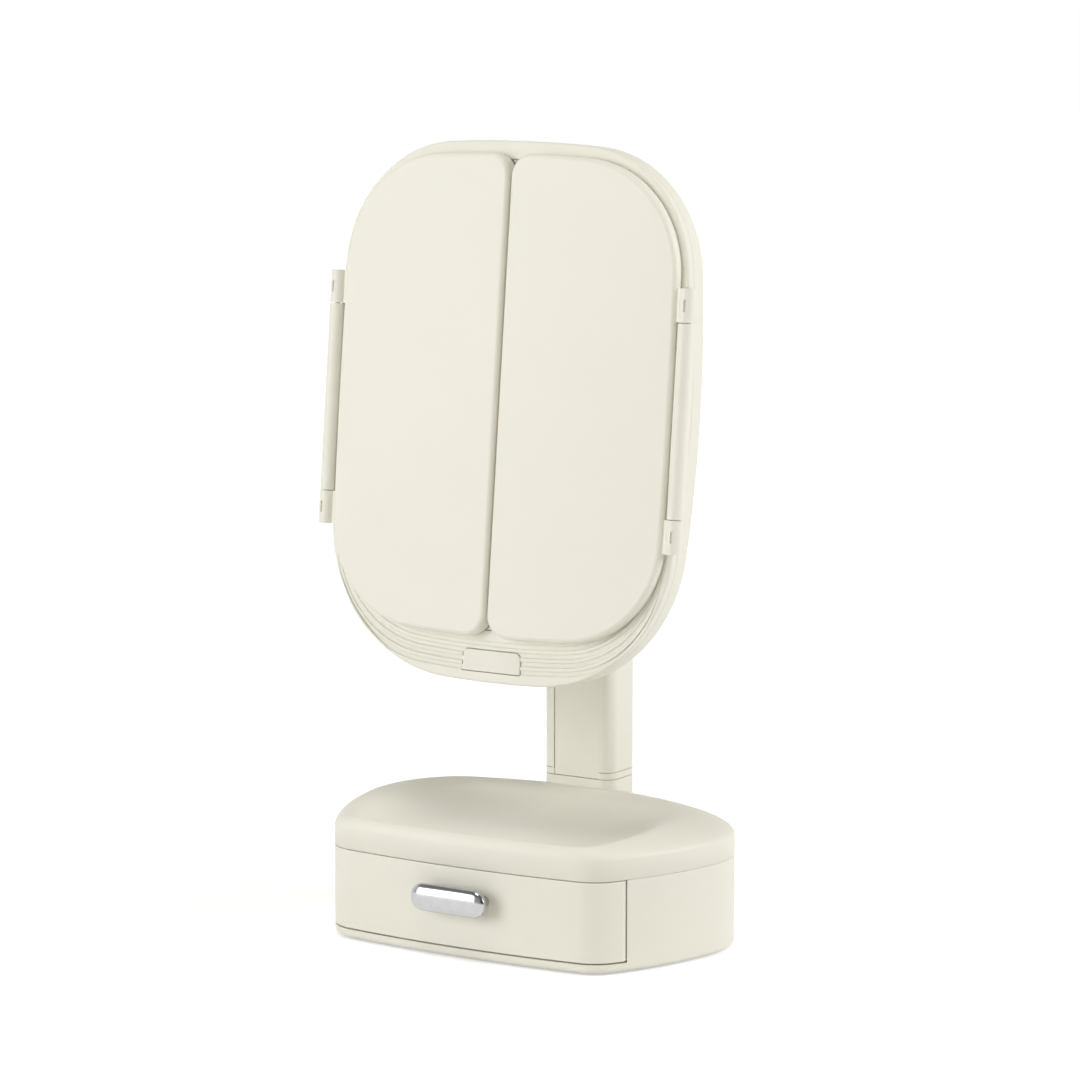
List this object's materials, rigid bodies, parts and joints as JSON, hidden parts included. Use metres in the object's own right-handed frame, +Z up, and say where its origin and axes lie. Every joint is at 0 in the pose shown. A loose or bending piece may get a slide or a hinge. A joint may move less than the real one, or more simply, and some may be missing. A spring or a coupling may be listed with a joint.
{
  "type": "vanity mirror with drawer",
  "caption": "Free-standing vanity mirror: tilting head with two hinged doors over a lit mirror, on a column above a base with a tray and a drawer.",
  "frame": {"origin": "on the ground, at the middle of the overall footprint", "axes": "+X to the right seen from the front, +Y towards the back, +Z up; the doors and the drawer face -Y"},
  "size_m": [0.2272, 0.1618, 0.4299],
  "materials": {
    "cream_shell": "fine matte moulded plastic",
    "inner_plastic": "plain moulded plastic",
    "chrome_trim": "polished chrome plate",
    "steel": "zinc plated steel",
    "neck_metal": "painted die-cast metal",
    "washer_plastic": "dark friction plastic",
    "rubber": "soft matte rubber",
    "mirror_glass": "silvered mirror glass",
    "frosted_band": "frosted light band",
    "led_tape": "light strip",
    "board_green": "circuit board",
    "battery_wrap": "shrink-wrapped cell pack"
  },
  "bodies": {
    "base": {"base_body": "cream_shell", "ballast_plate": "steel", "rubber_feet": "rubber", "base_screws": "steel", "top_cover": "cream_shell", "left_runner": "inner_plastic", "right_runner": "inner_plastic", "column_socket": "cream_shell", "column_panel": "cream_shell", "column_shell": "cream_shell", "column_core": "steel", "column_bracket": "steel", "bracket_screws": "steel", "core_spacers": "steel", "neck_arm": "neck_metal", "neck_screws": "steel"},
    "drawer": {"drawer_front": "cream_shell", "drawer_box": "inner_plastic", "pull_bar": "chrome_trim", "pull_posts": "chrome_trim", "pull_screws": "steel"},
    "head": {"mirror_frame": "cream_shell", "rear_cover": "cream_shell", "rear_cover_screws": "steel", "main_mirror": "mirror_glass", "light_band": "frosted_band", "mirror_backing": "inner_plastic", "led_strip": "led_tape", "battery_pack": "battery_wrap", "control_board": "board_green", "key_switch": "inner_plastic", "charge_inlet": "steel", "frame_magnets": "steel", "tilt_mount": "neck_metal", "mount_screws": "steel", "tilt_pin": "steel", "friction_washers": "washer_plastic"},
    "key": {"power_key": "cream_shell", "switch_plunger": "inner_plastic"},
    "left_door": {"left_door_shell": "cream_shell", "left_door_mirror": "mirror_glass", "left_hinge_pins": "steel", "left_door_magnets": "steel"},
    "right_door": {"right_door_shell": "cream_shell", "right_door_mirror": "mirror_glass", "right_hinge_pins": "steel", "right_door_magnets": "steel"}
  },
  "joints": [
    {"name": "drawer_slide", "type": "slide", "parent": "base", "child": "drawer", "axis": [0, -1, 0], "range_m": [0, 0.086]},
    {"name": "head_tilt", "type": "hinge", "parent": "base", "child": "head", "pos_m": [0, 0.01138, 0.2857], "axis": [1, 0, 0], "range_deg": [-35, 18]},
    {"name": "right_door_hinge", "type": "hinge", "parent": "head", "child": "right_door", "pos_m": [0.1089, -0.02362, 0.28944], "axis": [0, 0.1063, 0.9943], "range_deg": [0, 180]},
    {"name": "left_door_hinge", "type": "hinge", "parent": "head", "child": "left_door", "pos_m": [-0.1089, -0.02362, 0.28944], "axis": [0, -0.1063, -0.9943], "range_deg": [0, 180]},
    {"name": "power_key_press", "type": "slide", "parent": "head", "child": "key", "axis": [0, 0.9943, -0.1063], "range_m": [0, 0.001], "stiffness_N_per_m": 800, "springref_m": -0.001}
  ]
}
